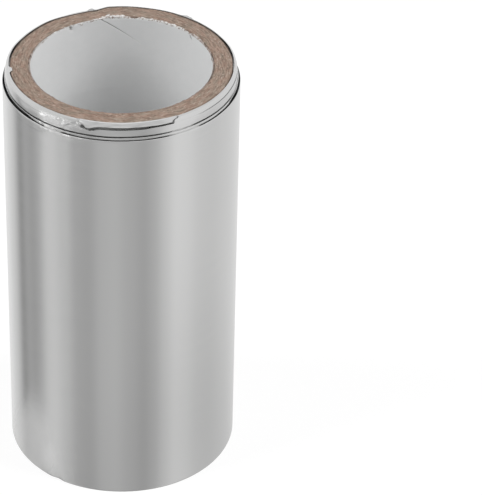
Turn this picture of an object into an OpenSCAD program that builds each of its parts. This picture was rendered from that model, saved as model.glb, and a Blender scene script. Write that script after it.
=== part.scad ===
// Roll of aluminium foil on a paperboard tube, standing on its end.
// The tube and the first turns have slid up out of the last turns, so the
// upper end rises in a shoulder and the foot is hollow by the same amount.

/* [Core tube] */
// Clear bore of the tube, which slips over a spindle or a finger
bore_d = 50; // [30:1:90]
// Length of the tube from end to end
core_len = 120; // [60:1:300]
// Thickness of the white paper ply that lines the bore
liner_t = 0.4; // [0.2:0.05:1]
// Thickness of the dried glue between that ply and the board
glue_t = 0.08; // [0.06:0.02:0.2]
// Thickness of the brown paperboard wall
board_t = 5.15; // [2.5:0.05:10]
// Radius that handling has worn on the corners of the board's ends
board_corner = 0.45; // [0.1:0.05:1]
// Thickness of one of the paperboard plies wound on each other in the wall
ply_t = 0.65; // [0.4:0.05:1.2]
// Width of the line between two plies, where their ends have drawn apart
ply_line_w = 0.12; // [0.06:0.02:0.2]
// Depth of that line into the board's end
ply_line_depth = 0.25; // [0.1:0.05:0.8]

/* [Liner seam] */
// Width of the slit where the edges of the liner meet
seam_w = 0.25; // [0.1:0.05:0.6]
// Rise of the seam in one turn round the bore
seam_pitch = 112; // [60:1:200]
// Where the seam reaches the upper end, in degrees round from the right side
seam_at = 106; // [0:1:359]

/* [Foil winding] */
// Width of the foil, which is the height of every turn
foil_w = 120; // [60:1:300]
// Thickness of all the turns together
winding_t = 2.05; // [1.5:0.05:25]
// How far the tube and the first turns have slid up out of the last turns
slip = 4.8; // [2.5:0.1:12]
// Number of turn edges that show as steps on the shoulder
shoulder_turns = 12; // [4:1:24]
// Thickness of the innermost turns, which end level with the tube
rim_t = 0.2; // [0.1:0.05:0.4]
// Width of the gap between the tube and the foil at the upper end
rim_gap = 0.2; // [0.1:0.05:0.4]
// Depth of that gap
rim_gap_depth = 1.2; // [0.4:0.1:4]
// Thickness of the band of turns between the two dark slits
band_t = 0.25; // [0.15:0.05:0.4]
// Thickness of the last turns, outside the second slit
last_t = 0.15; // [0.1:0.05:0.3]
// How far the last turns end below that band
band_step = 0.95; // [0.3:0.05:2]
// Width of each slit between the groups of turns
slit_w = 0.1; // [0.06:0.02:0.14]
// Depth of each slit, from the edge of the turns outside it
slit_depth = 1.2; // [0.4:0.1:3]

/* [Folded lip] */
// Angle round the roll over which the first turns are folded outwards
lip_angle = 48; // [15:1:90]
// Where the middle of the lip lies, in degrees round from the right side
lip_at = 273; // [0:1:359]
// How far the lip reaches down over the shoulder
lip_drop = 1.5; // [0.8:0.1:2]
// Thickness of the folded foil
lip_t = 0.15; // [0.1:0.05:0.3]
// How far the lower edge of the lip stands off the shoulder
lip_standoff = 0.3; // [0.1:0.05:0.6]

/* [Loose tail] */
// Where the free end of the foil lies, in degrees round from the right side
tail_at = 60; // [20:1:160]
// Length of foil that has sprung off the roll
tail_len = 9; // [4:0.5:20]
// Thickness of the tail, which is doubled over at its edge
tail_t = 0.12; // [0.08:0.02:0.3]
// How far the edge of the tail has lifted
tail_lift = 0.4; // [0.2:0.05:0.8]

/* [Hidden] */
bore_r = bore_d / 2;
liner_r = bore_r + liner_t;
board_inner_r = liner_r + glue_t;
board_r = board_inner_r + board_t;
roll_r = board_r + winding_t;

// The last turns stand on the ground, and the tube and the first turns start above it
core_z = slip;
core_top = core_z + core_len;
foil_top = slip + foil_w;

// Board ends
corner_steps = 5;
ply_count = floor(board_t / ply_t);

// Radii of the groups of turns, from the tube outwards
rim_inner_r = board_r + rim_gap;
shoulder_inner_r = rim_inner_r + rim_t;
last_inner_r = roll_r - last_t;
band_outer_r = last_inner_r - slit_w;
band_inner_r = band_outer_r - band_t;
shoulder_outer_r = band_inner_r - slit_w;
shoulder_drop = slip - band_step;

// Cuts and roots reach this far past the faces that they cross
overshoot = 0.5;
root = 0.1;
seam_slice_angle = 6;
lip_steps = 6;
tail_steps = 12;

$fn = 180;

function reversed(points) = [for (i = [len(points) - 1 : -1 : 0]) points[i]];

// Quarter circle of a worn corner, from one angle to the next
function worn_corner(centre, from) = [
    for (i = [0 : corner_steps])
        let (a = from + 90 * i / corner_steps)
            centre + board_corner * [cos(a), sin(a)]
];

// A point of the shoulder, a quarter of an ellipse from its rim (0) to its foot (1)
function shoulder_point(t) = [
    shoulder_inner_r + (shoulder_outer_r - shoulder_inner_r) * sin(90 * t),
    foil_top - shoulder_drop * (1 - cos(90 * t))
];

// Where the shoulder has fallen by a given height
function shoulder_t(drop) = acos(1 - drop / shoulder_drop) / 90;

// Edges of the turns on the shoulder: each rises straight and ends in a flat tread
function turn_edges() = [
    for (i = [1 : shoulder_turns])
        let (
            inside = shoulder_point((i - 1) / shoulder_turns),
            outside = shoulder_point(i / shoulder_turns)
        )
            each [[inside[0], outside[1]], outside]
];

// Upper edge of the winding, from the last turns inwards to the tube
function upper_edge() = concat(
    [
        [roll_r, foil_w],
        [last_inner_r, foil_w],
        [last_inner_r, foil_w - slit_depth],
        [band_outer_r, foil_w - slit_depth],
        [band_outer_r, foil_w + band_step],
        [band_inner_r, foil_w + band_step],
        [band_inner_r, foil_w + band_step - slit_depth],
        [shoulder_outer_r, foil_w + band_step - slit_depth]
    ],
    reversed(turn_edges()),
    [
        [shoulder_inner_r, foil_top],
        [rim_inner_r, foil_top],
        [rim_inner_r, foil_top - rim_gap_depth],
        [board_r, foil_top - rim_gap_depth]
    ]
);

// Lower edge, from the tube outwards: the same steps one foil width down, with the slits shut
function lower_edge() = concat(
    [[board_r, slip], [shoulder_inner_r, slip]],
    [for (p = turn_edges()) [p[0], p[1] - foil_w]],
    [[band_outer_r, band_step], [band_outer_r, 0], [roll_r, 0]]
);

// Spiral-wound brown paperboard, with worn corners and the plies showing on both ends
module core_board() {
    color("#a58d7c")
        difference() {
            rotate_extrude()
                polygon(concat(
                    worn_corner([board_r - board_corner, core_top - board_corner], 0),
                    worn_corner([board_inner_r + board_corner, core_top - board_corner], 90),
                    worn_corner([board_inner_r + board_corner, core_z + board_corner], 180),
                    worn_corner([board_r - board_corner, core_z + board_corner], 270)
                ));
            for (i = [1 : ply_count - 1])
                ply_line(board_inner_r + board_t * i / ply_count);
        }
}

// Line between two plies, cut into both ends of the board
module ply_line(line_r) {
    for (z = [core_z - overshoot, core_top - ply_line_depth])
        translate([0, 0, z])
            difference() {
                cylinder(h = ply_line_depth + overshoot, r = line_r + ply_line_w / 2);
                translate([0, 0, -overshoot])
                    cylinder(h = ply_line_depth + 3 * overshoot, r = line_r - ply_line_w / 2);
            }
}

// White paper ply glued to the bore, wound in a helix so that its edges meet in one seam
module core_liner() {
    color("#e6e6e3")
        difference() {
            translate([0, 0, core_z])
                cylinder(h = core_len, r = liner_r);
            translate([0, 0, core_z - overshoot])
                cylinder(h = core_len + 2 * overshoot, r = bore_r);
            liner_seam();
        }
}

// Helical slit through the liner, which climbs counter-clockwise
module liner_seam() {
    run = core_len + 2 * overshoot;
    turned = 360 * run / seam_pitch;
    start = seam_at + 360 * overshoot / seam_pitch - turned;
    rotate([0, 0, start])
        translate([0, 0, core_z - overshoot])
            linear_extrude(height = run, twist = -turned, slices = ceil(turned / seam_slice_angle), segments = 4)
                translate([bore_r - overshoot, -seam_w / 2])
                    square([liner_t + 2 * overshoot, seam_w]);
}

// All the turns of foil, wound tight on the tube into one body
module foil_winding() {
    color("#c3c5c8") {
        rotate_extrude()
            polygon(concat(upper_edge(), lower_edge()));
        folded_lip();
        loose_tail();
    }
}

// Edge of the first turns, folded outwards and down over the shoulder
module folded_lip() {
    foot = shoulder_t(min(lip_drop, shoulder_drop - root));
    against = [
        for (i = [0 : lip_steps])
            let (s = i / lip_steps)
                shoulder_point(foot * s) + [lip_standoff * s - root * (1 - s), 0]
    ];
    outside = [
        for (i = [0 : lip_steps])
            let (s = i / lip_steps)
                shoulder_point(foot * s) + [lip_standoff * s + lip_t, 0]
    ];
    rotate([0, 0, lip_at - lip_angle / 2])
        rotate_extrude(angle = lip_angle)
            polygon(concat(against, reversed(outside)));
}

// Free end of the foil, which runs the whole height and has sprung a little way off
module loose_tail() {
    span = tail_len / roll_r * 180 / PI;
    inside = [
        for (i = [0 : tail_steps])
            let (s = i / tail_steps, r = roll_r - root - tail_t + (tail_lift + root) * s)
                r * [cos(span * s), sin(span * s)]
    ];
    outside = [
        for (i = [0 : tail_steps])
            let (s = i / tail_steps, r = roll_r - root + (tail_lift + root) * s)
                r * [cos(span * s), sin(span * s)]
    ];
    rotate([0, 0, tail_at - span])
        linear_extrude(height = foil_w)
            polygon(concat(outside, reversed(inside)));
}

core_board();
core_liner();
foil_winding();
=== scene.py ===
"""Looks of a roll of aluminium foil on a paperboard tube, standing on its end on a pale studio floor.

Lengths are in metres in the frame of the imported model: +Z up along the axis, the foot plane at z = 0.
Places round the roll are azimuths in degrees from the front (-Y), positive towards the right (+X).
"""

import math

import bmesh
import bpy
from mathutils import Matrix, Vector, noise


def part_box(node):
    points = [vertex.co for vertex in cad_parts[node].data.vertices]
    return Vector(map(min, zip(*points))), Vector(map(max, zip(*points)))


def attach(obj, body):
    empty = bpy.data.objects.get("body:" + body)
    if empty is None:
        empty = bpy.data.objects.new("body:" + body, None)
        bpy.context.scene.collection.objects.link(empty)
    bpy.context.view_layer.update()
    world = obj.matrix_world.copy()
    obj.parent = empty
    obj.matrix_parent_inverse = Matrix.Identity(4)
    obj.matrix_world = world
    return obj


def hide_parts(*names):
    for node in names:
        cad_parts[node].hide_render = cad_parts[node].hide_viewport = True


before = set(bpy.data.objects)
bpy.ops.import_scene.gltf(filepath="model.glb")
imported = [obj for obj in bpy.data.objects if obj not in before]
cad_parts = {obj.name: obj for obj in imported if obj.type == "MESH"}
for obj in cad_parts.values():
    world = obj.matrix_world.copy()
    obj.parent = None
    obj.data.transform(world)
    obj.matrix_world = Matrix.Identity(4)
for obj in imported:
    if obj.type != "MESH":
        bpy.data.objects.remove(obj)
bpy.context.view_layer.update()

MM = 0.001

# Sizes read from the frame
FOOT_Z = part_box("foil_winding")[0].z
ROLL_R = -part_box("foil_winding")[0].x
FOIL_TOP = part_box("foil_winding")[1].z
BOARD_R = -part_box("core_board")[0].x
CORE_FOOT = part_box("core_board")[0].z
CORE_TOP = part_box("core_board")[1].z
LINER_R = -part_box("core_liner")[0].x
SLIP = CORE_FOOT - FOOT_Z
FOIL_WIDTH = FOIL_TOP - SLIP

# Core tube, with the seam's azimuth at the upper end and its rise in one turn
LINER_T = 0.4 * MM
GLUE_T = 0.08 * MM
BORE_R = LINER_R - LINER_T
SEAM_AT = -164
SEAM_PITCH = 112 * MM

# Foil winding, from the tube outwards
GAP_W = 0.24 * MM
GAP_DEPTH = 2.2 * MM
RIM_T = 0.12 * MM
SHOULDER_DROP = 3.7 * MM
BAND_DROP = 4.0 * MM
SLIT_1_W = 0.2 * MM
BAND_T = 0.16 * MM
SLIT_2_W = 0.26 * MM
LAST_T = 0.12 * MM
SLIT_1_DEPTH = 1.6 * MM
SLIT_2_DEPTH = 8 * MM

# Loosened turn on the shoulder: the row of the shoulder's points where it starts, and its slit
LOOSE_ROW = 17
LOOSE_W = 0.1 * MM
LOOSE_DEPTH = 0.9 * MM

# Folded lip, in degrees from the front
LIP_FROM = -21
LIP_TO = 28

# Where the foil was pressed, on the shoulder and at the foot
PRESSED_AT = -35

# How far the wear reaches: down from the top for the rim, the dents and the shifts of whole groups of
# turns, up from the ground for the foot, and from both ends for the board
RIM_REACH = 1.5 * MM
DENT_REACH = 7 * MM
SHIFT_REACH = 14 * MM
FOOT_REACH = 4 * MM
BOARD_REACH = 1.2 * MM

# Places closer than this count as the same
SAME = 0.01 * MM

# Steps in a full turn, the wedges that it is made of, and the least angle of a sharp edge in degrees
ROUND_STEPS = 900
WEDGES = 20
SHARP_ANGLE = 38


# Colour and node helpers


def linear(code):
    """An sRGB hex colour as the linear values that a shader takes."""
    channels = [int(code[i : i + 2], 16) / 255 for i in (1, 3, 5)]
    return (*[c / 12.92 if c <= 0.04045 else ((c + 0.055) / 1.055) ** 2.4 for c in channels], 1)


def add_node(tree, kind, settings=None, **inputs):
    """Adds a node. settings are its properties. inputs are its sockets by name, or by number as i0, i1 and
    so on, each with a value or with the socket that feeds it."""
    node = tree.nodes.new(kind)
    for name, value in (settings or {}).items():
        setattr(node, name, value)
    for name, value in inputs.items():
        key = int(name[1:]) if name[0] == "i" and name[1:].isdigit() else name.replace("_", " ")
        socket = node.inputs[key]
        if isinstance(value, bpy.types.NodeSocket):
            tree.links.new(value, socket)
        else:
            socket.default_value = value
    return node


def blend(tree, factor, low, high):
    """The colour between two colours."""
    return add_node(
        tree, "ShaderNodeMix", {"data_type": "RGBA"}, Factor=factor, i6=low, i7=high
    ).outputs[2]


def smooth_range(tree, value, low, high, at_low=0.0, at_high=1.0):
    """A value's smooth run between two levels, from one limit to another."""
    return add_node(
        tree, "ShaderNodeMapRange", {"interpolation_type": "SMOOTHSTEP"},
        Value=value, From_Min=low, From_Max=high, To_Min=at_low, To_Max=at_high,
    ).outputs[0]


def new_material(name):
    """An empty material with its node tree."""
    material = bpy.data.materials.new(name)
    material.use_nodes = True
    material.node_tree.nodes.clear()
    return material, material.node_tree


def radius_and_direction(tree):
    """Distance from the roll's axis, the direction away from it, and the height."""
    place = add_node(tree, "ShaderNodeTexCoord").outputs["Object"]
    parts = add_node(tree, "ShaderNodeSeparateXYZ", Vector=place)
    flat = add_node(tree, "ShaderNodeCombineXYZ", X=parts.outputs["X"], Y=parts.outputs["Y"])
    radius = add_node(tree, "ShaderNodeVectorMath", {"operation": "LENGTH"}, i0=flat.outputs[0])
    outwards = add_node(tree, "ShaderNodeVectorMath", {"operation": "NORMALIZE"}, i0=flat.outputs[0])
    return radius.outputs["Value"], outwards.outputs[0], parts.outputs["Z"]


def turn_cells(tree, along, across, upwards):
    """Pattern coordinates that follow the turns, in cells: along them, across them and upwards.

    The direction away from the axis stands for the way round, so a pattern has no seam.
    """
    radius, outwards, height = radius_and_direction(tree)
    ring = add_node(
        tree, "ShaderNodeVectorMath", {"operation": "SCALE"}, i0=outwards, Scale=BOARD_R / along
    )
    by_radius = add_node(tree, "ShaderNodeMath", {"operation": "MULTIPLY"}, i0=radius, i1=1 / across)
    rise = add_node(
        tree, "ShaderNodeMath", {"operation": "MULTIPLY_ADD"},
        i0=height, i1=1 / upwards, i2=by_radius.outputs[0],
    )
    lift = add_node(tree, "ShaderNodeCombineXYZ", Z=rise.outputs[0])
    cells = add_node(
        tree, "ShaderNodeVectorMath", {"operation": "ADD"}, i0=ring.outputs[0], i1=lift.outputs[0]
    )
    return cells.outputs[0]


# Materials


def rolled_foil():
    """Household aluminium foil, bright annealed: the mill's rolls leave fine lines along the foil, so a
    reflection is sharp round the roll and drawn out up and down it."""
    material, tree = new_material("rolled_foil")
    lines = add_node(
        tree, "ShaderNodeTexNoise", Vector=turn_cells(tree, 30 * MM, 0.3 * MM, 0.35 * MM),
        Scale=1.0, Detail=3.0, Roughness=0.6,
    )
    tone = blend(tree, lines.outputs["Fac"], linear("#f1f1f1"), linear("#f7f7f6"))
    rough = add_node(
        tree, "ShaderNodeMapRange",
        Value=lines.outputs["Fac"], From_Min=0.3, From_Max=0.7, To_Min=0.19, To_Max=0.24,
    )
    waves = add_node(
        tree, "ShaderNodeTexNoise", Vector=turn_cells(tree, 18 * MM, 2 * MM, 1.2 * MM),
        Scale=1.0, Detail=2.0,
    )
    relief = add_node(
        tree, "ShaderNodeBump", Height=waves.outputs["Fac"], Strength=0.15, Distance=0.02 * MM
    )
    place = add_node(tree, "ShaderNodeTexCoord").outputs["Object"]
    along = add_node(
        tree, "ShaderNodeVectorMath", {"operation": "CROSS_PRODUCT"}, i0=(0, 0, 1), i1=place
    )
    along = add_node(tree, "ShaderNodeVectorMath", {"operation": "NORMALIZE"}, i0=along.outputs[0])
    shader = add_node(
        tree, "ShaderNodeBsdfPrincipled", Base_Color=tone, Roughness=rough.outputs[0],
        Normal=relief.outputs[0], Tangent=along.outputs[0], Metallic=1.0,
        Anisotropic=0.75, Anisotropic_Rotation=0.25,
    )
    add_node(tree, "ShaderNodeOutputMaterial", Surface=shader.outputs[0])
    return material


def recycled_board():
    """Unbleached recycled paperboard, saw-cut at the ends: matt and brown grey, with short fibres and
    specks of other paper laid along the plies. Its outer edge is darkened with painted shade of the gap
    between board and foil, wider towards the back."""
    material, tree = new_material("recycled_board")
    fibres = add_node(
        tree, "ShaderNodeTexNoise", Vector=turn_cells(tree, 2.4 * MM, 0.36 * MM, 0.5 * MM),
        Scale=1.0, Detail=3.0, Roughness=0.5,
    )
    stock = add_node(
        tree, "ShaderNodeTexNoise", Vector=turn_cells(tree, 3.5 * MM, 1.1 * MM, 3 * MM),
        Scale=1.0, Detail=2.0,
    )
    specks = add_node(
        tree, "ShaderNodeTexNoise", Vector=turn_cells(tree, 1.0 * MM, 0.3 * MM, 0.6 * MM),
        Scale=1.0, Detail=2.0, Distortion=0.6,
    )
    shade = add_node(tree, "ShaderNodeValToRGB", Fac=fibres.outputs["Fac"])
    ramp = shade.color_ramp
    ramp.elements[0].position = 0.34
    ramp.elements[0].color = linear("#6e5e53")
    ramp.elements[1].position = 0.66
    ramp.elements[1].color = linear("#b7a597")
    ramp.elements.new(0.5).color = linear("#968578")
    hue = add_node(tree, "ShaderNodeValToRGB", Fac=stock.outputs["Fac"])
    ramp = hue.color_ramp
    ramp.elements[0].position = 0.32
    ramp.elements[0].color = linear("#8d8376")
    ramp.elements[1].position = 0.68
    ramp.elements[1].color = linear("#a38374")
    tone = blend(tree, 0.45, shade.outputs[0], hue.outputs[0])
    pale = add_node(
        tree, "ShaderNodeMapRange",
        Value=specks.outputs["Fac"], From_Min=0.6, From_Max=0.72, To_Min=0.0, To_Max=0.7,
    )
    tone = blend(tree, pale.outputs[0], tone, linear("#cdbdb2"))
    dark = add_node(
        tree, "ShaderNodeMapRange",
        Value=specks.outputs["Fac"], From_Min=0.28, From_Max=0.4, To_Min=0.7, To_Max=0.0,
    )
    tone = blend(tree, dark.outputs[0], tone, linear("#5c4c43"))
    # Painted shade: the outer edge is darkened as the gap between board and foil shades it, wider at the
    # back
    radius, outwards = radius_and_direction(tree)[:2]
    behind = add_node(tree, "ShaderNodeSeparateXYZ", Vector=outwards)
    shade_wider_at_back = smooth_range(tree, behind.outputs["Y"], -0.5, 0.8, -0.3 * MM, 0.5 * MM)
    reach = add_node(tree, "ShaderNodeMath", {"operation": "ADD"}, i0=radius, i1=shade_wider_at_back)
    frayed = add_node(
        tree, "ShaderNodeMath", {"operation": "MULTIPLY_ADD"},
        i0=specks.outputs["Fac"], i1=0.5 * MM, i2=reach.outputs[0],
    )
    edge = smooth_range(tree, frayed.outputs[0], BOARD_R - 0.15 * MM, BOARD_R + 0.12 * MM, 0.0, 0.85)
    tone = blend(tree, edge, tone, linear("#3d3530"))
    relief = add_node(
        tree, "ShaderNodeBump", Height=fibres.outputs["Fac"], Strength=0.6, Distance=0.12 * MM
    )
    shader = add_node(
        tree, "ShaderNodeBsdfPrincipled", Base_Color=tone, Normal=relief.outputs[0], Roughness=0.92
    )
    add_node(tree, "ShaderNodeOutputMaterial", Surface=shader.outputs[0])
    return material


def liner_paper():
    """Bleached kraft paper, calendered on the side that faces the bore: neutral white and faintly satin.
    Where the wall is sunk outwards, in the seam's slit and the pressed dents, it is greyed with painted
    shade."""
    material, tree = new_material("liner_paper")
    place = add_node(tree, "ShaderNodeTexCoord").outputs["Object"]
    pulp = add_node(
        tree, "ShaderNodeTexNoise", Vector=place, Scale=1 / (2.5 * MM), Detail=4.0, Roughness=0.6
    )
    tone = blend(tree, pulp.outputs["Fac"], linear("#e6e7e7"), linear("#ededed"))
    # Painted shade: grey where the bore wall is pushed outwards, in the sunk seam and the dents
    radius = radius_and_direction(tree)[0]
    seam_and_dent_shade = smooth_range(tree, radius, BORE_R + 0.06 * MM, BORE_R + 0.26 * MM, 0.0, 0.8)
    tone = blend(tree, seam_and_dent_shade, tone, linear("#7d7976"))
    relief = add_node(
        tree, "ShaderNodeBump", Height=pulp.outputs["Fac"], Strength=0.25, Distance=0.05 * MM
    )
    shader = add_node(
        tree, "ShaderNodeBsdfPrincipled", Base_Color=tone, Normal=relief.outputs[0], Roughness=0.6
    )
    add_node(tree, "ShaderNodeOutputMaterial", Surface=shader.outputs[0])
    return material


def torn_paper():
    """The torn edge of the liner: loose fibres of white paper, with brown ones of the board among them. It
    is greyed towards the front with painted shade, to match the shaded bore wall beside it, and is whitest
    at the back.
    """
    material, tree = new_material("torn_paper")
    place = add_node(tree, "ShaderNodeTexCoord").outputs["Object"]
    pulp = add_node(
        tree, "ShaderNodeTexNoise", Vector=place, Scale=1 / (0.6 * MM), Detail=3.0, Roughness=0.7
    )
    # Painted shade: the paper is greyer towards the front and whiter at the back, as the bore wall is
    # shaded
    parts = add_node(tree, "ShaderNodeSeparateXYZ", Vector=place)
    at_back = add_node(
        tree, "ShaderNodeMapRange", Value=parts.outputs["Y"], From_Min=-BORE_R, From_Max=BORE_R
    )
    painted_shade_front_to_back = add_node(tree, "ShaderNodeValToRGB", Fac=at_back.outputs[0])
    ramp = painted_shade_front_to_back.color_ramp
    ramp.elements[0].position = 0.05
    ramp.elements[0].color = linear("#988c86")
    ramp.elements[1].position = 0.85
    ramp.elements[1].color = linear("#e9e8e7")
    ramp.elements.new(0.5).color = linear("#b5aaa4")
    ramp.elements.new(0.72).color = linear("#bfb6b1")
    share = smooth_range(tree, pulp.outputs["Fac"], 0.36, 0.56)
    tone = blend(tree, share, linear("#927f74"), painted_shade_front_to_back.outputs[0])
    relief = add_node(
        tree, "ShaderNodeBump", Height=pulp.outputs["Fac"], Strength=0.8, Distance=0.12 * MM
    )
    shader = add_node(
        tree, "ShaderNodeBsdfPrincipled", Base_Color=tone, Normal=relief.outputs[0], Roughness=0.95
    )
    add_node(tree, "ShaderNodeOutputMaterial", Surface=shader.outputs[0])
    return material


# Modelling helpers


def azimuth_of(place):
    """Degrees round from the front."""
    return math.degrees(math.atan2(place.x, -place.y))


def away(azimuth, centre):
    """Signed degrees from one azimuth to another, by the short way."""
    return (azimuth - centre + 180) % 360 - 180


def near(azimuth, centre, reach):
    """1 at the centre, falling smoothly to 0 at the reach on both sides."""
    share = min(abs(away(azimuth, centre)) / reach, 1)
    return 0.5 + 0.5 * math.cos(math.pi * share)


def step_up(value, low, high):
    """0 below low and 1 above high, with a smooth run between."""
    share = min(max((value - low) / (high - low), 0), 1)
    return share * share * (3 - 2 * share)


def span(value, low, full, last, high):
    """1 from full to last, falling smoothly to 0 at low and at high."""
    return step_up(value, low, full) * (1 - step_up(value, last, high))


def from_axis(radius, azimuth, height):
    """The point at a radius, an azimuth and a height."""
    angle = math.radians(azimuth)
    return Vector((radius * math.sin(angle), -radius * math.cos(angle), height))


def refined(outline, spacing):
    """The outline with points added so that none lie further apart than the spacing."""
    fine = [outline[0]]
    for start, end in zip(outline, outline[1:]):
        count = max(1, math.ceil(math.dist(start, end) / spacing))
        for i in range(1, count + 1):
            radius = start[0] + (end[0] - start[0]) * i / count
            height = start[1] + (end[1] - start[1]) * i / count
            fine.append((radius, height))
    return fine


def turned(outline):
    """Spins a closed outline of (radius, height) points once round the roll's axis.

    One wedge is spun and then repeated, because a full spin of so many steps is slow.
    """
    bm = bmesh.new()
    verts = [bm.verts.new((r, 0, z)) for r, z in outline]
    edges = [bm.edges.new(pair) for pair in zip(verts, verts[1:] + verts[:1])]
    wedge = math.tau / WEDGES
    bmesh.ops.spin(
        bm, geom=verts + edges, cent=(0, 0, 0), axis=(0, 0, 1), angle=wedge, steps=ROUND_STEPS // WEDGES
    )
    bmesh.ops.spin(
        bm, geom=bm.verts[:] + bm.edges[:] + bm.faces[:], cent=(0, 0, 0), axis=(0, 0, 1),
        angle=math.tau - wedge, steps=WEDGES - 1, use_duplicate=True,
    )
    bmesh.ops.remove_doubles(bm, verts=bm.verts, dist=0.001 * MM)
    bmesh.ops.recalc_face_normals(bm, faces=bm.faces)
    return bm


def arc_strip(section, start, end, steps):
    """Spins an open section of (radius, height) points from one azimuth to another."""
    bm = bmesh.new()
    verts = [bm.verts.new(from_axis(r, start, z)) for r, z in section]
    edges = [bm.edges.new(pair) for pair in zip(verts, verts[1:])]
    bmesh.ops.spin(
        bm, geom=verts + edges, cent=(0, 0, 0), axis=(0, 0, 1),
        angle=math.radians(end - start), steps=steps,
    )
    return bm


def thicken(bm, thickness):
    """Gives a strip its wall thickness, along the normals of the shape that it has now."""
    bmesh.ops.recalc_face_normals(bm, faces=bm.faces)
    made = bmesh.ops.extrude_face_region(bm, geom=bm.faces[:])
    bm.normal_update()
    for item in made["geom"]:
        if isinstance(item, bmesh.types.BMVert):
            item.co -= item.normal * thickness
    bmesh.ops.recalc_face_normals(bm, faces=bm.faces)


def piece(name, bm, material, stands_for=None):
    """Makes an object of the shape, which rides on the roll and takes its finish from a slot."""
    mesh = bpy.data.meshes.new(name)
    bm.to_mesh(mesh)
    bm.free()
    mesh.shade_smooth()
    mesh.set_sharp_from_angle(angle=math.radians(SHARP_ANGLE))
    mesh.materials.append(material)
    made = bpy.data.objects.new(name, mesh)
    bpy.context.scene.collection.objects.link(made)
    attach(made, "root")
    if stands_for:
        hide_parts(stands_for)
    return made


def rim_crush(azimuth):
    """How far the upper rim has been pressed down, on board and foil alike."""
    dip = 0.75 * MM * step_up(away(azimuth, -160), -14, -6) * (1 - step_up(away(azimuth, -160), 0, 40))
    dip += 0.45 * MM * near(azimuth, -116, 32)
    return dip + 0.12 * MM * noise.noise(from_axis(4, azimuth, 0.3))


def foil_sunk(azimuth):
    """How far the rim of the foil has sunk below the board at the back."""
    return 0.4 * MM * step_up(abs(azimuth), 104, 120)


# Foil


def foil_outline():
    """Section of the winding, from the gap at the tube, over the shoulder and down to the foot, with the
    radius of the loosened turn and how far below the top it starts."""
    inner = BOARD_R + GAP_W
    last_inner = ROLL_R - LAST_T
    band_outer = last_inner - SLIT_2_W
    band_inner = band_outer - BAND_T
    shoulder_outer = band_inner - SLIT_1_W
    shoulder_foot = FOIL_TOP - SHOULDER_DROP
    band_top = FOIL_TOP - BAND_DROP
    last_top = FOIL_WIDTH
    tip = 0.03 * MM
    width = shoulder_outer - inner - RIM_T
    turns = [i * math.pi / 60 for i in range(31)]
    shoulder = [
        (shoulder_outer - width * (1 - math.sin(t)), FOIL_TOP - SHOULDER_DROP * (1 - math.cos(t)))
        for t in turns
    ]
    loose_r, loose_z = shoulder[LOOSE_ROW]
    loose_slit = [
        (loose_r + 0.01 * MM, loose_z - LOOSE_DEPTH),
        (loose_r + LOOSE_W, loose_z - LOOSE_DEPTH),
    ]
    top = [
        (BOARD_R + 0.02 * MM, FOIL_TOP - GAP_DEPTH),
        (inner, FOIL_TOP - GAP_DEPTH),
        (inner, FOIL_TOP - tip),
        (inner + tip, FOIL_TOP),
        *shoulder[: LOOSE_ROW + 1],
        *loose_slit,
        *shoulder[LOOSE_ROW + 1 :],
        (shoulder_outer - 2 * tip, shoulder_foot - 2 * tip),
        (shoulder_outer - 0.38 * MM, shoulder_foot - 4 * tip),
        (shoulder_outer - 0.42 * MM, band_top - SLIT_1_DEPTH),
        (band_inner, band_top - SLIT_1_DEPTH),
        (band_inner, band_top - tip),
        (band_inner + tip, band_top),
        (band_outer - tip, band_top - tip),
    ]
    band = refined([(band_outer, band_top - 4 * tip), (band_outer, last_top)], 0.28 * MM)
    last = [
        (band_outer, last_top - SLIT_2_DEPTH),
        (last_inner, last_top - SLIT_2_DEPTH),
        (last_inner, last_top - tip),
        (last_inner + tip, last_top),
        (ROLL_R - tip, last_top - tip),
        (ROLL_R, last_top - 4 * tip),
    ]
    wall = refined([(ROLL_R, last_top - 0.6 * MM), (ROLL_R, last_top - 3 * MM)], 0.6 * MM)
    wall += refined([(ROLL_R, last_top - 6 * MM), (ROLL_R, 6 * MM)], 6 * MM)
    wall += refined([(ROLL_R, 4 * MM), (ROLL_R, 0.3 * MM)], 0.6 * MM)
    foot = [(ROLL_R - 0.1 * MM, FOOT_Z), (last_inner, FOOT_Z)]
    inside = [(r, z - FOIL_WIDTH) for r, z in reversed(shoulder[::4])]
    outline = top + band + last + wall + foot + inside + [(BOARD_R + 0.02 * MM, SLIP)]
    return outline, loose_r, FOIL_TOP - loose_z


def lip_pocket(fall, edge):
    """Where a point of the shoulder goes under the lip, which hangs over a deep, dark pocket."""
    bottom = 3.55 * MM
    inside = 0.8 * MM
    if fall < inside:
        return BOARD_R + GAP_W + 0.08 * MM, fall * bottom / inside
    share = (fall - inside) / (edge - inside)
    return ROLL_R - 0.9 * MM, bottom - share * (bottom - edge)


def lip_edge(azimuth):
    """How far below the top the pocket ends, which is lower under the bulge at the lip's left end."""
    return (1.8 - 0.2 * step_up(azimuth, 5, 24) + 0.65 * near(azimuth, -15.5, 6)) * MM


def lip_end(share):
    """Azimuth of the lip's right end, which runs down in a slanted curve."""
    return LIP_TO - 2.8 * share + 0.6 * math.sin(math.tau * share)


def crumple(place, weight):
    """Small flat facets that pressed foil takes, each tilted its own way."""
    cells = place / (1.6 * MM)
    cell = noise.voronoi(cells)[1][0]
    tilt = noise.cell_vector(cell * 7.3) - Vector((0.5, 0.5, 0.5))
    bulge = noise.noise(place / (2.4 * MM)) * 0.16 + noise.noise(place / (1.1 * MM)) * 0.04
    return weight * ((cells - cell).dot(tilt) * 0.2 + bulge) * MM


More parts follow.
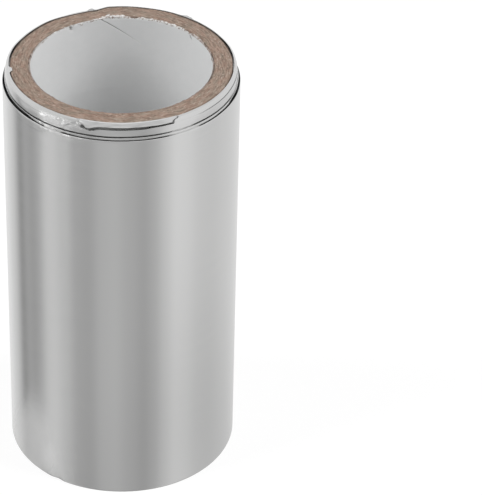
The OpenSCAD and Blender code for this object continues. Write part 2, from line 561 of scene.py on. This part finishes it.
def dented(azimuth, fall):
    """Dents and creases of the pressed place, which lie on the smooth shoulder."""
    fall /= MM
    dent = near(azimuth, -31, 3) * math.exp(-(((fall - 1.3) / 0.45) ** 2))
    ridge = near(azimuth, -25.5 - 3 * (fall - 1.2), 1.5) * step_up(fall, 0.7, 1.1)
    ridge *= 1 - step_up(fall, 2.2, 2.9)
    nick = near(azimuth, -22.6, 1.2) * math.exp(-(((fall - 1.1) / 0.35) ** 2))
    return (0.15 * ridge - 0.16 * dent - 0.16 * nick) * MM


def group_shift(radius, azimuth, fall):
    """How far out the groups of turns have shifted: at both sides the last turns stand off the band
    between the slits, and at the front the band lies close to them."""
    inner = BOARD_R + GAP_W + RIM_T
    band_outer = ROLL_R - LAST_T - SLIT_2_W
    band_inner = band_outer - BAND_T
    if radius < inner or radius > band_outer + SAME:
        return 0.0
    left = span(azimuth, -98, -84, -56, -44)
    right = span(azimuth, 62, 72, 92, 104)
    front = span(azimuth, -44, -34, 16, 30)
    shift = -(0.05 * left + 0.04 * right) * MM * (radius - inner) / (band_outer - inner)
    if radius > band_inner - SAME:
        lean = min(max((fall - BAND_DROP) / (FOIL_TOP - FOIL_WIDTH - BAND_DROP), 0), 1)
        shift += (0.08 * front - 0.15 * left - 0.08 * right) * MM
        shift -= (0.12 * left + 0.16 * right) * lean * MM
        if radius > band_outer - 0.04 * MM:
            shift -= 0.1 * front * lean * MM
    return shift


def shoulder_wear(place, azimuth, radius, fall, loose_r, loose_fall):
    """How far a point near the upper end moves out and up, by the pressed place at the front left, the
    loosened turn at the right and the pocket under the lip."""
    out = 0.05 * MM * noise.noise(from_axis(6, azimuth, place.z / (1.5 * MM)))
    up = 0.0
    on_shoulder = fall < SHOULDER_DROP + SAME
    pressed = near(azimuth, PRESSED_AT, 17) * (1 - step_up(fall, 4.6 * MM, DENT_REACH))
    if pressed > 0 and (on_shoulder or radius > ROLL_R - 0.6 * MM):
        strength = 0.1 + 0.8 * step_up(fall, 3.3 * MM, 4.2 * MM)
        out += crumple(place, pressed * strength * step_up(fall, 0, 1.2 * MM))
        out += dented(azimuth, fall)
        out -= 0.14 * MM * near(azimuth, PRESSED_AT - 2, 9) * (1 - step_up(fall, 4 * MM, 5.4 * MM))
    loose = span(azimuth, 36, 50, 80, 92)
    if abs(fall - loose_fall - LOOSE_DEPTH) < SAME and radius < loose_r + 0.2 * MM:
        # The slit's floor shuts where the turn isn't loose, and goes under the lip with its mouth
        fall -= LOOSE_DEPTH
        up += (1 - loose) * (LOOSE_DEPTH - 0.01 * MM)
        out -= (1 - loose) * 0.08 * MM * step_up(radius, loose_r, loose_r + LOOSE_W)
    elif fall > loose_fall + SAME and on_shoulder:
        out += loose * 0.08 * MM * (1 - step_up(fall, 1.5 * MM, 3.4 * MM))
    end = lip_end(min(fall / MM, 1)) + 0.5
    edge = lip_edge(azimuth)
    under = span(azimuth, LIP_FROM - 0.5, LIP_FROM + 1.5, end, end + 0.6)
    if under > 0 and fall < edge:
        pocket_r, pocket_fall = lip_pocket(fall, edge)
        out += under * (pocket_r - radius)
        up -= under * (pocket_fall - fall)
    return out, up


def wear_foil(bm, loose_r, loose_fall):
    """Moves the winding's points by the wear that the roll has had, and shuts the slits where the groups
    of turns touch."""
    for vert in bm.verts:
        place = vert.co.copy()
        azimuth = azimuth_of(place)
        radius = math.hypot(place.x, place.y)
        outwards = Vector((place.x, place.y, 0)) / radius
        fall = FOIL_TOP - place.z
        out = 0.0
        up = 0.0
        if fall < SHIFT_REACH:
            out += group_shift(radius, azimuth, fall)
        if BAND_DROP - SAME < fall < BAND_DROP + 0.5 * MM and radius > ROLL_R - 0.56 * MM:
            sunk = span(azimuth, -96, -86, -54, -42)
            up -= 0.1 * MM * sunk * (1 - (fall - BAND_DROP) / (0.5 * MM))
        if fall < RIM_REACH:
            up -= (rim_crush(azimuth) + foil_sunk(azimuth)) * (1 - fall / RIM_REACH)
        if fall < DENT_REACH and radius > BOARD_R + GAP_W + 0.05 * MM:
            dent_out, dent_up = shoulder_wear(place, azimuth, radius, fall, loose_r, loose_fall)
            out += dent_out
            up += dent_up
        if abs(fall - BAND_DROP - SLIT_1_DEPTH) < SAME and radius < ROLL_R - 0.5 * MM:
            up += near(azimuth, 31, 16) * (SLIT_1_DEPTH - 0.02 * MM)
        if abs(place.z - FOIL_WIDTH + SLIT_2_DEPTH) < SAME and radius < ROLL_R - 0.05 * MM:
            shut = max(near(azimuth, 33, 24), near(azimuth, PRESSED_AT - 1, 14))
            up += (1 - (1 - shut) ** 2.5) * (SLIT_2_DEPTH - 0.05 * MM)
        if place.z < FOOT_REACH and radius > ROLL_R - 0.5 * MM:
            low = 1 - place.z / FOOT_REACH
            wave = 0.5 + noise.noise(from_axis(14, azimuth, 2.0))
            up += low * near(azimuth, -45, 22) * 0.08 * MM * wave
            fold = near(azimuth, PRESSED_AT, 4)
            up += low * fold * 0.13 * MM
            out -= low * fold * 0.22 * MM
        vert.co = place + outwards * out + Vector((0, 0, up))


def foil_turns(foil):
    """All the turns of foil, with the shoulder and the slits between the groups of turns."""
    outline, loose_r, loose_fall = foil_outline()
    bm = turned(outline)
    wear_foil(bm, loose_r, loose_fall)
    return piece("foil_turns", bm, foil, "foil_winding")


def folded_lip(foil):
    """Edge of the first turns, folded outwards over the rim, with a slanted right end and a rolled hem."""
    inner = BOARD_R + GAP_W
    section = [
        (inner - 0.12 * MM, FOIL_TOP - 0.4 * MM),
        (inner - 0.12 * MM, FOIL_TOP - 0.03 * MM),
        (inner - 0.03 * MM, FOIL_TOP + 0.06 * MM),
        (inner + 0.1 * MM, FOIL_TOP + 0.06 * MM),
        (inner + 0.22 * MM, FOIL_TOP + 0.02 * MM),
        (inner + 0.84 * MM, FOIL_TOP - 0.84 * MM),
        (inner + 0.93 * MM, FOIL_TOP - 0.95 * MM),
        (inner + 0.92 * MM, FOIL_TOP - 1.04 * MM),
        (inner + 0.84 * MM, FOIL_TOP - 1.06 * MM),
    ]
    bm = arc_strip(refined(section, 0.12 * MM), LIP_FROM, LIP_TO, 180)
    for vert in bm.verts:
        place = vert.co
        radius = math.hypot(place.x, place.y)
        share = min(max((FOIL_TOP - place.z) / MM, 0), 1)
        share *= step_up(radius, inner + 0.1 * MM, inner + 0.3 * MM)
        way = (azimuth_of(place) - LIP_FROM) / (LIP_TO - LIP_FROM)
        azimuth = LIP_FROM + way * (lip_end(share) - LIP_FROM)
        ragged = 0.12 * noise.noise(from_axis(9, azimuth, 5.0))
        ragged += 0.08 * noise.noise(from_axis(30, azimuth, 1.0))
        blob = 0.55 * near(azimuth, -16, 4.2)
        fade = 0.5 * (1 - step_up(azimuth, LIP_FROM, LIP_FROM + 4))
        hang = share * (ragged + blob - fade) * MM
        bulge = noise.noise(Vector((azimuth / 5, share * 2, 3.0)))
        lift = share * (0.1 * bulge + 0.3 * near(azimuth, -16, 4)) * MM
        height = place.z - hang - rim_crush(azimuth) * (1 - share)
        vert.co = from_axis(radius + lift + 0.25 * hang, azimuth, height)
    thicken(bm, 0.05 * MM)
    return piece("folded_lip", bm, foil)


def loose_tail(foil):
    """Free end of the foil at the back, which has sprung a little way off over the whole height."""
    start, end = 133, 150
    tail_r = ROLL_R + 0.01 * MM
    section = refined([(tail_r, 0.2 * MM), (tail_r, FOIL_WIDTH - 0.2 * MM)], 1.5 * MM)
    bm = arc_strip(section, start, end, 40)
    for vert in bm.verts:
        place = vert.co
        way = (azimuth_of(place) - start) / (end - start)
        ragged = 0.7 * noise.noise(Vector((0, 0, place.z / (7 * MM))))
        azimuth = start + way * (end - start + ragged)
        lift = way**1.6 * (0.3 + 0.07 * noise.noise(Vector((way * 2, 5, place.z / (16 * MM))))) * MM
        vert.co = from_axis(tail_r + lift, azimuth, place.z)
    thicken(bm, 0.06 * MM)
    return piece("loose_tail", bm, foil)


# Torn scraps of foil at the rim: azimuth, width in degrees, and how far each stands up and leans outwards
SCRAPS = [
    (-83, 7, 0.15 * MM, -0.95 * MM),
    (-164, 5, 0.45 * MM, 0.3 * MM),
    (143, 9, 0.3 * MM, 0.35 * MM),
    (-22, 2.5, 0.3 * MM, 0.5 * MM),
]


def rim_scraps(foil):
    """Small torn scraps that the first turns have left along the rim."""
    bm = bmesh.new()
    for azimuth, width, rise, lean in SCRAPS:
        made = bmesh.ops.create_grid(bm, x_segments=12, y_segments=5, size=1)
        for vert in made["verts"]:
            across, up = vert.co.x, 0.5 + vert.co.y / 2
            taper = 1 - 0.4 * up * abs(across)
            ragged = 1 - 0.5 * abs(across) ** 2 + 0.35 * noise.noise(Vector((across * 2.5, azimuth, 0)))
            height = FOIL_TOP - rim_crush(azimuth) - foil_sunk(azimuth) + up * rise * ragged + 0.03 * MM
            radius = BOARD_R + GAP_W + RIM_T / 2 + up * lean * ragged
            vert.co = from_axis(radius, azimuth + across * taper * width / 2, height)
    thicken(bm, 0.04 * MM)
    return piece("rim_scraps", bm, foil)


# Board and liner


def board_outline():
    """Section of the board, with its worn corners."""
    inner = LINER_R + GLUE_T
    corner = 0.45 * MM

    def worn(centre_r, centre_z, start):
        turns = [math.radians(start + 15 * i) for i in range(7)]
        return [(centre_r + corner * math.cos(t), centre_z + corner * math.sin(t)) for t in turns]

    upper = worn(BOARD_R - corner, CORE_TOP - corner, 0) + worn(inner + corner, CORE_TOP - corner, 90)
    lower = worn(inner + corner, CORE_FOOT + corner, 180) + worn(BOARD_R - corner, CORE_FOOT + corner, 270)
    outside = [(BOARD_R, CORE_TOP - depth) for depth in (3 * MM, 1.4 * MM, 0.9 * MM)]
    return refined(outside + upper, 0.14 * MM) + refined(lower, 0.4 * MM)


def wear_board(bm):
    """Roughens the cut ends with torn fibres, and opens the plies a little."""
    for vert in bm.verts:
        place = vert.co
        azimuth = azimuth_of(place)
        radius = math.hypot(place.x, place.y)
        outwards = Vector((place.x, place.y, 0)) / radius
        end = max(1 - (CORE_TOP - place.z) / BOARD_REACH, 0)
        foot = max(1 - (place.z - CORE_FOOT) / BOARD_REACH, 0)
        turn = from_axis(BOARD_R / (0.8 * MM), azimuth, radius / (0.3 * MM))
        fibre = noise.noise(turn) * 0.1 * MM + noise.noise(turn * 0.3) * 0.12 * MM
        ply = 0.04 * MM * math.cos(math.tau * (radius - LINER_R) / (0.72 * MM))
        wavy = 0.24 * noise.noise(from_axis(7, azimuth, 3.0))
        wavy = (wavy + 0.16 * noise.noise(from_axis(40, azimuth, 3.0))) * MM
        edge = step_up(radius, BOARD_R - 0.7 * MM, BOARD_R)
        up = end * (fibre + ply - rim_crush(azimuth) - 0.14 * MM) - foot * abs(fibre)
        vert.co = place + Vector((0, 0, up)) + outwards * (end * edge * (wavy - 0.16 * MM))


def board_tube(board):
    """Spiral-wound tube of brown paperboard."""
    bm = turned(board_outline())
    wear_board(bm)
    return piece("board_tube", bm, board, "core_board")


def liner_outline():
    """Section of the liner: the bore's wall, and the upper end up to where it is torn."""
    wall = refined([(BORE_R, CORE_FOOT), (BORE_R, CORE_TOP - 24 * MM)], 6 * MM)
    wall += refined([(BORE_R, CORE_TOP - 23 * MM), (BORE_R, CORE_TOP - 12 * MM)], 1.2 * MM)
    wall += refined([(BORE_R, CORE_TOP - 11.6 * MM), (BORE_R, CORE_TOP - 0.9 * MM)], 0.5 * MM)
    return wall + [
        (BORE_R + 0.08 * MM, CORE_TOP - 0.8 * MM),
        (LINER_R - 0.05 * MM, CORE_TOP - 0.8 * MM),
        (LINER_R, CORE_TOP - 0.9 * MM),
        (LINER_R, CORE_FOOT),
    ]


def wear_liner(bm):
    """Winds the liner's columns along its helix, sinks the seam and presses the dents."""
    column = 360 / ROUND_STEPS
    for vert in bm.verts:
        place = vert.co.copy()
        radius = math.hypot(place.x, place.y)
        depth = CORE_TOP - place.z
        before = azimuth_of(place)
        azimuth = before - 360 * depth / SEAM_PITCH
        out = 0.0
        if radius < BORE_R + 0.02 * MM:
            beside = away(before, SEAM_AT) / column
            opening = 1 - step_up(depth, 2.5 * MM, 12 * MM)
            out += 0.33 * MM * opening * max(1 - abs(beside) / 1.6, 0)
            out += 0.05 * MM * noise.noise(from_axis(3, azimuth, place.z / (9 * MM)))
            below = depth - 1.6 * MM
            dent = near(azimuth, -145.8, 1.6) * math.exp(-((below / (0.8 * MM)) ** 2))
            crease = near(azimuth, 131.5 - depth / MM, 1.3) * math.exp(-((below / (0.9 * MM)) ** 2))
            out += 0.36 * MM * dent + 0.34 * MM * crease
        vert.co = from_axis(radius + out, azimuth, place.z)


def liner_tube(paper):
    """White paper ply glued to the bore."""
    bm = turned(liner_outline())
    wear_liner(bm)
    return piece("liner_tube", bm, paper, "core_liner")


def torn_rim(torn):
    """The torn upper edge of the liner, frayed outwards over the board's inner corner."""
    section = [
        (BORE_R + 0.03 * MM, CORE_TOP - 0.9 * MM),
        (BORE_R, CORE_TOP - 0.4 * MM),
        (BORE_R + 0.1 * MM, CORE_TOP - 0.1 * MM),
        (LINER_R - 0.1 * MM, CORE_TOP),
        (LINER_R + 0.25 * MM, CORE_TOP - 0.08 * MM),
        (LINER_R + 0.3 * MM, CORE_TOP - 0.35 * MM),
        (LINER_R - 0.1 * MM, CORE_TOP - 0.9 * MM),
        (BORE_R + 0.03 * MM, CORE_TOP - 0.9 * MM),
    ]
    bm = turned(refined(section, 0.13 * MM)[:-1])
    for vert in bm.verts:
        place = vert.co
        azimuth = azimuth_of(place)
        radius = math.hypot(place.x, place.y)
        outwards = Vector((place.x, place.y, 0)) / radius
        high = step_up(place.z, CORE_TOP - 0.8 * MM, CORE_TOP - 0.15 * MM)
        outer = step_up(radius, LINER_R - 0.25 * MM, LINER_R + 0.3 * MM)
        back = near(azimuth, -173, 17)
        side = near(azimuth, 140, 40)
        gone = near(azimuth, 172, 5) + 0.8 * near(azimuth, -120, 3) + 0.7 * near(azimuth, 96, 4)
        frayed = noise.noise(place / (0.75 * MM)) * (0.7 + 0.6 * back)
        wavy = noise.noise(place / (1.6 * MM))
        wavy += (0.7 + 0.7 * near(azimuth, 85, 45)) * noise.noise(place / (3 * MM))
        out = outer * (0.25 * frayed + 0.55 * wavy + 0.7 * back + 0.3 * side - 0.5 * gone - 0.32) * MM
        up = high * (0.16 * frayed + 0.2 * wavy + 0.45 * back + 0.25 * side - 0.6 * gone - 0.5) * MM
        up -= high * rim_crush(azimuth) * 0.8
        vert.co = place + outwards * out + Vector((0, 0, up))
    return piece("torn_rim", bm, torn)


# Camera, light and floor


def photo_camera():
    """The camera at the viewing angle, height and distance worked out from the outlines of the roll."""
    yaw, pitch, roll = math.radians(2.737), math.radians(34.837), math.radians(1.400)
    data = bpy.data.cameras.new("camera")
    data.lens = 220.598
    data.sensor_width = 36
    camera = bpy.data.objects.new("camera", data)
    turn = (
        Matrix.Rotation(-yaw, 4, "Z")
        @ Matrix.Rotation(math.pi / 2 - pitch, 4, "X")
        @ Matrix.Rotation(roll, 4, "Z")
    )
    camera.matrix_world = Matrix.Translation((0, -710.291 * MM, 557.845 * MM)) @ turn
    bpy.context.scene.collection.objects.link(camera)
    bpy.context.scene.camera = camera


# What stands round the roll, as the metal sees it: azimuth from the front in degrees, and brightness.
# Dark flags and pale panels stand on the table, and softer panels hang above them.
TABLE_BANDS = [
    (-180, 0.95),
    (-160, 0.83),
    (-132, 0.61),
    (-126, 0.45),
    (-119, 0.19),
    (-108, 0.38),
    (-99, 0.3),
    (-90, 0.38),
    (-80, 0.57),
    (-72, 0.59),
    (-58, 0.465),
    (-46, 0.365),
    (-34, 0.36),
    (-20, 0.455),
    (-8, 0.475),
    (8, 0.42),
    (22, 0.37),
    (32, 0.43),
    (44, 0.58),
    (55, 0.69),
    (66, 0.67),
    (84, 0.585),
    (100, 0.565),
    (120, 0.605),
    (136, 0.65),
    (155, 0.73),
    (180, 0.9),
]
HUNG_BANDS = [
    (-180, 0.85),
    (-150, 0.7),
    (-110, 0.68),
    (-70, 0.62),
    (-45, 0.5),
    (-28, 0.4),
    (20, 0.4),
    (36, 0.5),
    (50, 0.72),
    (90, 0.68),
    (140, 0.7),
    (180, 0.85),
]
UNDERFOOT = 0.3
OVERHEAD = 0.62
SOFT_BOX = 1.0
# The even light that falls on matt surfaces
MATT_FILL = 0.35
# Small bare lamps near the table: azimuth, elevation and radius in degrees, and brightness
BARE_LAMPS = [
    (-75, -16, 2.8, 2.4),
    (-67, -11, 1.2, 2.4),
    (-52, -15, 2.4, 3.4),
    (-38, -8, 1.6, 2.6),
]
# Pale patches on the sheet by the left of the foot: centre, and where each begins and ends to fade
PALE_PATCHES = [
    ((-41 * MM, -13 * MM, 0), 7 * MM, 21 * MM),
    ((-30 * MM, -19 * MM, 0), 4 * MM, 15 * MM),
]
# Where metal sees the panels dimmest, by the right of the foot, and how far that reaches
DIM_CENTRE = (48 * MM, -32 * MM, 0)
DIM_REACH = 105 * MM
# How much of the sheet the camera sees as plain white light, and the level that brings it to white
WHITE_SHARE = 0.7
WHITE_LEVEL = 1.12


def band_colours(tree, share, bands):
    """A ramp of greys round the roll, by the share of a turn from the back."""
    node = add_node(tree, "ShaderNodeValToRGB", Fac=share)
    ramp = node.color_ramp
    ramp.interpolation = "EASE"
    for i, (azimuth, level) in enumerate(bands):
        place = azimuth / 360 + 0.5
        stop = ramp.elements[i] if i < 2 else ramp.elements.new(place)
        stop.position = place
        stop.color = (level, level, level, 1)
    return node.outputs[0]


def studio_world():
    """White to the camera, even light on matt surfaces, and the studio's panels for metal to reflect."""
    world = bpy.data.worlds.new("studio")
    world.use_nodes = True
    tree = world.node_tree
    tree.nodes.clear()
    direction = add_node(tree, "ShaderNodeTexCoord").outputs["Generated"]
    parts = add_node(tree, "ShaderNodeSeparateXYZ", Vector=direction)
    forward = add_node(tree, "ShaderNodeMath", {"operation": "MULTIPLY"}, i0=parts.outputs["Y"], i1=-1.0)
    azimuth = add_node(
        tree, "ShaderNodeMath", {"operation": "ARCTAN2"}, i0=parts.outputs["X"], i1=forward.outputs[0]
    )
    share = add_node(
        tree, "ShaderNodeMath", {"operation": "MULTIPLY_ADD"},
        i0=azimuth.outputs[0], i1=1 / math.tau, i2=0.5,
    )
    seen = (UNDERFOOT, UNDERFOOT, UNDERFOOT, 1)
    layers = [
        (-0.93, -0.85, band_colours(tree, share.outputs[0], TABLE_BANDS)),
        (-0.5, -0.25, band_colours(tree, share.outputs[0], HUNG_BANDS)),
        (0.3, 0.75, (OVERHEAD, OVERHEAD, OVERHEAD, 1)),
        (0.88, 0.97, (SOFT_BOX, SOFT_BOX, SOFT_BOX, 1)),
    ]
    for low, high, colour in layers:
        above = smooth_range(tree, parts.outputs["Z"], low, high)
        seen = blend(tree, above, seen, colour)
    for lamp_azimuth, elevation, size, level in BARE_LAMPS:
        rise = math.radians(elevation)
        aim = from_axis(math.cos(rise), lamp_azimuth, math.sin(rise))
        nearness = add_node(
            tree, "ShaderNodeVectorMath", {"operation": "DOT_PRODUCT"}, i0=direction, i1=aim
        )
        rim = math.cos(math.radians(size + 1.5))
        core = math.cos(math.radians(size - 1))
        lit = smooth_range(tree, nearness.outputs["Value"], rim, core)
        seen = blend(tree, lit, seen, (level, level, level, 1))
    path = add_node(tree, "ShaderNodeLightPath")
    fill = (MATT_FILL, MATT_FILL, MATT_FILL, 1)
    plain = blend(tree, path.outputs["Is Camera Ray"], fill, (1, 1, 1, 1))
    colour = blend(tree, path.outputs["Is Glossy Ray"], plain, seen)
    background = add_node(tree, "ShaderNodeBackground", Color=colour, Strength=1.0)
    add_node(tree, "ShaderNodeOutputWorld", Surface=background.outputs[0])
    bpy.context.scene.world = world


def pale_floor():
    """A wide white sheet that takes the roll's soft shadow. Metal sees past it to the studio's panels,
    which look a little dimmer near the right of the foot, and sees a pale patch by its left."""
    bm = bmesh.new()
    bmesh.ops.create_grid(bm, x_segments=1, y_segments=1, size=3.0)
    mesh = bpy.data.meshes.new("floor")
    bm.to_mesh(mesh)
    bm.free()
    floor = bpy.data.objects.new("floor", mesh)
    material, tree = new_material("white_sheet")
    path = add_node(tree, "ShaderNodeLightPath")
    paint = add_node(tree, "ShaderNodeBsdfDiffuse", Color=linear("#fbfbfb"))
    white = add_node(tree, "ShaderNodeEmission", Color=(1, 1, 1, 1), Strength=WHITE_LEVEL)
    backdrop = add_node(
        tree, "ShaderNodeMath", {"operation": "MULTIPLY"},
        i0=path.outputs["Is Camera Ray"], i1=WHITE_SHARE,
    )
    sheet = add_node(
        tree, "ShaderNodeMixShader", i0=backdrop.outputs[0], i1=paint.outputs[0], i2=white.outputs[0]
    )
    place = add_node(tree, "ShaderNodeTexCoord").outputs["Object"]
    off_patch = 1.0
    for centre, inner, outer in PALE_PATCHES:
        distance = add_node(tree, "ShaderNodeVectorMath", {"operation": "DISTANCE"}, i0=place, i1=centre)
        clearness = smooth_range(tree, distance.outputs["Value"], inner, outer, 0.45, 1.0)
        off_patch = add_node(
            tree, "ShaderNodeMath", {"operation": "MINIMUM"}, i0=off_patch, i1=clearness
        ).outputs[0]
    far = add_node(
        tree, "ShaderNodeVectorMath", {"operation": "DISTANCE"}, i0=place, i1=DIM_CENTRE
    )
    dimmed = smooth_range(tree, far.outputs["Value"], 0.0, DIM_REACH, 0.85, 1.0)
    clear = add_node(tree, "ShaderNodeBsdfTransparent", Color=dimmed)
    past = add_node(
        tree, "ShaderNodeMath", {"operation": "MULTIPLY"}, i0=path.outputs["Is Glossy Ray"], i1=off_patch
    )
    shown = add_node(
        tree, "ShaderNodeMixShader", i0=past.outputs[0], i1=sheet.outputs[0], i2=clear.outputs[0]
    )
    add_node(tree, "ShaderNodeOutputMaterial", Surface=shown.outputs[0])
    mesh.materials.append(material)
    bpy.context.scene.collection.objects.link(floor)


def side_lamp(name, azimuth, energy):
    """A broad soft lamp high at one side, which lights the far wall of the bore."""
    data = bpy.data.lights.new(name, "AREA")
    data.shape = "SQUARE"
    data.size = 0.5
    data.energy = energy
    lamp = bpy.data.objects.new(name, data)
    place = from_axis(0.67, azimuth, 0.72)
    roll_top = Vector((0, 0, 0.12))
    aim = (roll_top - place).to_track_quat("-Z", "Y").to_matrix().to_4x4()
    lamp.matrix_world = Matrix.Translation(place) @ aim
    lamp.visible_glossy = False
    bpy.context.scene.collection.objects.link(lamp)


bpy.context.scene.view_settings.view_transform = "Standard"
photo_camera()
studio_world()
pale_floor()
side_lamp("lamp_left", -78, 4.15)
side_lamp("lamp_right", 78, 4.65)

foil = rolled_foil()
foil_turns(foil)
folded_lip(foil)
loose_tail(foil)
rim_scraps(foil)
board_tube(recycled_board())
liner_tube(liner_paper())
torn_rim(torn_paper())
